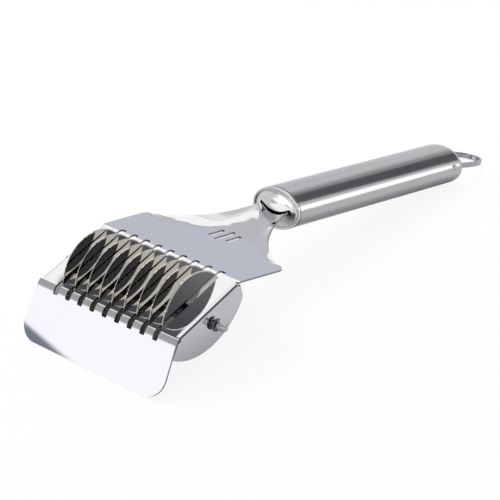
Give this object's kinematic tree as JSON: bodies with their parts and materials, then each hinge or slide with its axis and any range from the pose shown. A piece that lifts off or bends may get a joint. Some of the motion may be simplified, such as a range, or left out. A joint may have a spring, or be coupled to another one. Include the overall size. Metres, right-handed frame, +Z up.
{
  "type": "roller noodle cutter",
  "caption": "Hand-held roller cutter for noodles and pasta: disc blades on an axle under a slotted steel bed, on an oval tube handle with a hanging loop.",
  "frame": {"origin": "middle of the underside of the box round the tool, as it lies on its back on a table", "axes": "+X from the blades towards the hanging loop, +Y to the left along the axle, +Z up"},
  "size_m": [0.258, 0.0816, 0.0366],
  "materials": {
    "polished_sheet": "mirror polished",
    "polished_cap": "mirror polished",
    "brushed_tube": "satin brushed",
    "polished_strip": "tumbled",
    "ground_blade": "fine ground",
    "turned_steel": "turned",
    "spring_steel": "blued"
  },
  "bodies": {
    "handle_and_frame": {"slotted_frame": "polished_sheet", "handle_front_cap": "polished_cap", "handle_tube": "brushed_tube", "hanging_loop": "polished_strip", "loop_rivet": "polished_strip"},
    "blade_roller": {"blade_1": "ground_blade", "blade_2": "ground_blade", "blade_3": "ground_blade", "blade_4": "ground_blade", "blade_5": "ground_blade", "blade_6": "ground_blade", "blade_7": "ground_blade", "blade_8": "ground_blade", "blade_9": "ground_blade", "spacer_1": "turned_steel", "spacer_2": "turned_steel", "spacer_3": "turned_steel", "spacer_4": "turned_steel", "spacer_5": "turned_steel", "spacer_6": "turned_steel", "spacer_7": "turned_steel", "spacer_8": "turned_steel", "left_end_spacer": "turned_steel", "right_end_spacer": "turned_steel", "axle_rod": "turned_steel", "left_retaining_clip": "spring_steel", "right_retaining_clip": "spring_steel"}
  },
  "joints": [
    {"name": "roller_spin", "type": "hinge", "parent": "handle_and_frame", "child": "blade_roller", "pos_m": [-0.09803, 0, 0.01963], "axis": [0, 1, 0], "continuous": true}
  ]
}
